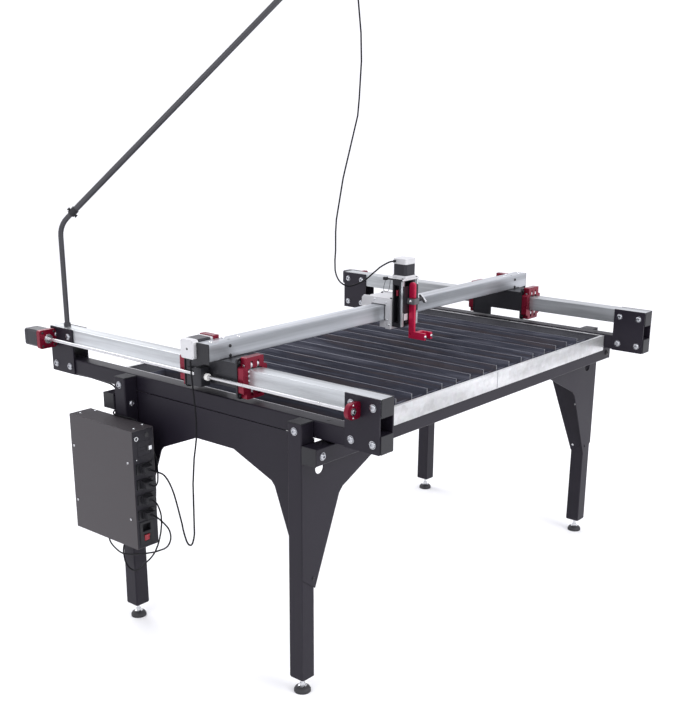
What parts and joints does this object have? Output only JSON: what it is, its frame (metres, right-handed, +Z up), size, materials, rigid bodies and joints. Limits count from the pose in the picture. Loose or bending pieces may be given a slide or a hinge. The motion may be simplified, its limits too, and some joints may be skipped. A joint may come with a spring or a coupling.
{
  "type": "cnc plasma table",
  "caption": "Free-standing plasma cutting table: slatted water tray, two raised rails, screw-driven gantry with a torch lifter, control box on a leg and a lead boom.",
  "frame": {"origin": "on the floor, under the middle of the whole outline measured without the cords", "axes": "+X along the gantry to the right seen from the front, +Y from the front to the back along the rails, +Z up"},
  "size_m": [1.7796, 1.465, 2.1166],
  "materials": {
    "black_frame": "satin powder coat",
    "black_plastic": "moulded",
    "aluminium": "brushed, mill finish",
    "bright_steel": "zinc plated",
    "foot_rubber": "moulded",
    "galvanised": "galvanised sheet",
    "slat_steel": "hot rolled, scaled",
    "motor_black": "satin",
    "red_anodised": "red anodised",
    "black_anodised": "black anodised",
    "nut_white": "machined acetal",
    "box_paint": "fine texture",
    "switch_red": "moulded",
    "board_green": "solder mask",
    "supply_metal": "sheet case",
    "boom_paint": "gloss enamel",
    "cord_black": "jacket"
  },
  "bodies": {
    "frame": {"legs": "black_frame", "cross_beams": "black_frame", "base_tubes": "black_frame", "tube_caps": "black_plastic", "side_aprons": "black_frame", "corner_gussets": "black_frame", "rails": "aluminium", "end_plates": "black_frame", "frame_bolts": "bright_steel", "water_tray": "galvanised", "slat_combs": "slat_steel", "slats": "slat_steel", "y_motors": "motor_black", "y_screw_mounts": "red_anodised", "box_shell": "box_paint", "box_panel": "box_paint", "box_plugs": "black_plastic", "power_inlet": "black_plastic", "control_board": "board_green", "power_supply": "supply_metal", "boom_mast": "boom_paint", "cord_gantry": "cord_black", "cord_y_left": "cord_black", "cord_y_right": "cord_black", "cord_boom": "cord_black"},
    "foot_fl": {"foot_front_left": "foot_rubber"},
    "foot_fr": {"foot_front_right": "foot_rubber"},
    "foot_rl": {"foot_rear_left": "foot_rubber"},
    "foot_rr": {"foot_rear_right": "foot_rubber"},
    "gantry": {"gantry_beam": "aluminium", "beam_end_plates": "black_plastic", "trucks": "black_anodised", "truck_brackets": "red_anodised", "y_nuts": "nut_white", "x_motor": "motor_black", "x_screw_mounts": "red_anodised"},
    "screw_left": {"y_screw_left": "bright_steel"},
    "screw_right": {"y_screw_right": "bright_steel"},
    "rollers_tf": {"rollers_top_front": "bright_steel"},
    "rollers_tr": {"rollers_top_rear": "bright_steel"},
    "rollers_bf": {"rollers_bottom_front": "bright_steel"},
    "rollers_br": {"rollers_bottom_rear": "bright_steel"},
    "carriage": {"x_carriage": "aluminium", "x_nut": "nut_white", "z_housing": "black_anodised", "z_rails": "aluminium", "z_motor": "motor_black", "cord_z_lower": "cord_black"},
    "x_leadscrew": {"x_screw": "bright_steel"},
    "lifter": {"z_plate": "black_anodised", "arm_clamp": "black_anodised"},
    "lifter_screw": {"z_screw": "bright_steel"},
    "arm": {"torch_arm": "red_anodised"},
    "knob": {"clamp_knob": "bright_steel"},
    "rocker": {"rocker_switch": "switch_red"},
    "boom": {"boom_tube": "boom_paint", "boom_clamp": "black_plastic", "cord_z_upper": "cord_black"},
    "boom_knob_a": {"boom_knob_upper": "black_plastic"},
    "boom_knob_b": {"boom_knob_lower": "black_plastic"}
  },
  "joints": [
    {"name": "foot_fl_turn", "type": "hinge", "parent": "frame", "child": "foot_fl", "pos_m": [-0.7794, -0.475, 0.06], "axis": [0, 0, 1], "continuous": true},
    {"name": "foot_fr_turn", "type": "hinge", "parent": "frame", "child": "foot_fr", "pos_m": [0.8452, -0.475, 0.06], "axis": [0, 0, 1], "continuous": true},
    {"name": "foot_rl_turn", "type": "hinge", "parent": "frame", "child": "foot_rl", "pos_m": [-0.7794, 0.264, 0.06], "axis": [0, 0, 1], "continuous": true},
    {"name": "foot_rr_turn", "type": "hinge", "parent": "frame", "child": "foot_rr", "pos_m": [0.8452, 0.264, 0.06], "axis": [0, 0, 1], "continuous": true},
    {"name": "gantry_slide", "type": "slide", "parent": "frame", "child": "gantry", "axis": [0, 1, 0], "range_m": [-0.3, 0.54]},
    {"name": "screw_left_turn", "type": "hinge", "parent": "frame", "child": "screw_left", "pos_m": [-0.79, -0.0055, 0.8892], "axis": [0, 1, 0], "continuous": true},
    {"name": "screw_right_turn", "type": "hinge", "parent": "frame", "child": "screw_right", "pos_m": [0.8558, -0.0055, 0.8892], "axis": [0, 1, 0], "continuous": true},
    {"name": "rollers_tf_turn", "type": "hinge", "parent": "gantry", "child": "rollers_tf", "pos_m": [0.0329, -0.2455, 0.9361], "axis": [1, 0, 0], "continuous": true},
    {"name": "rollers_tr_turn", "type": "hinge", "parent": "gantry", "child": "rollers_tr", "pos_m": [0.0329, -0.0035, 0.9361], "axis": [1, 0, 0], "continuous": true},
    {"name": "rollers_bf_turn", "type": "hinge", "parent": "gantry", "child": "rollers_bf", "pos_m": [0.0329, -0.2455, 0.8631], "axis": [1, 0, 0], "continuous": true},
    {"name": "rollers_br_turn", "type": "hinge", "parent": "gantry", "child": "rollers_br", "pos_m": [0.0329, -0.0035, 0.8631], "axis": [1, 0, 0], "continuous": true},
    {"name": "carriage_slide", "type": "slide", "parent": "gantry", "child": "carriage", "axis": [1, 0, 0], "range_m": [-0.6, 0.6]},
    {"name": "x_screw_turn", "type": "hinge", "parent": "gantry", "child": "x_leadscrew", "pos_m": [0.0329, -0.085, 0.9719], "axis": [1, 0, 0], "continuous": true},
    {"name": "lifter_slide", "type": "slide", "parent": "carriage", "child": "lifter", "axis": [0, 0, 1], "range_m": [-0.012, 0.045]},
    {"name": "lifter_screw_turn", "type": "hinge", "parent": "carriage", "child": "lifter_screw", "pos_m": [0.0329, -0.2035, 1], "axis": [0, 0, 1], "continuous": true},
    {"name": "arm_slide", "type": "slide", "parent": "lifter", "child": "arm", "axis": [0, 0, 1], "range_m": [-0.015, 0.03]},
    {"name": "clamp_knob_turn", "type": "hinge", "parent": "lifter", "child": "knob", "pos_m": [0.0409, -0.2465, 1.012], "axis": [1, 0, 0], "continuous": true},
    {"name": "rocker_turn", "type": "hinge", "parent": "frame", "child": "rocker", "pos_m": [-0.8508, 0.116, 0.347], "axis": [1, 0, 0], "range_deg": [-10, 0]},
    {"name": "boom_slide", "type": "slide", "parent": "frame", "child": "boom", "axis": [0.5104, -0.5104, 0.6921], "range_m": [0, 0.4]},
    {"name": "boom_knob_a_turn", "type": "hinge", "parent": "boom", "child": "boom_knob_a", "pos_m": [-0.69013, 0.57803, 1.28336], "axis": [0.4894, -0.4894, -0.7218], "continuous": true},
    {"name": "boom_knob_b_turn", "type": "hinge", "parent": "boom", "child": "boom_knob_b", "pos_m": [-0.70775, 0.59565, 1.30934], "axis": [-0.4894, 0.4894, 0.7218], "continuous": true}
  ],
  "couplings": [
    {"joint": "screw_left_turn", "follows": "gantry_slide", "rad_per_m": 494.74},
    {"joint": "screw_right_turn", "follows": "gantry_slide", "rad_per_m": 494.74},
    {"joint": "rollers_tf_turn", "follows": "gantry_slide", "rad_per_m": -90.909},
    {"joint": "rollers_tr_turn", "follows": "gantry_slide", "rad_per_m": -90.909},
    {"joint": "rollers_bf_turn", "follows": "gantry_slide", "rad_per_m": 90.909},
    {"joint": "rollers_br_turn", "follows": "gantry_slide", "rad_per_m": 90.909},
    {"joint": "x_screw_turn", "follows": "carriage_slide", "rad_per_m": 494.74},
    {"joint": "lifter_screw_turn", "follows": "lifter_slide", "rad_per_m": 785.4}
  ]
}
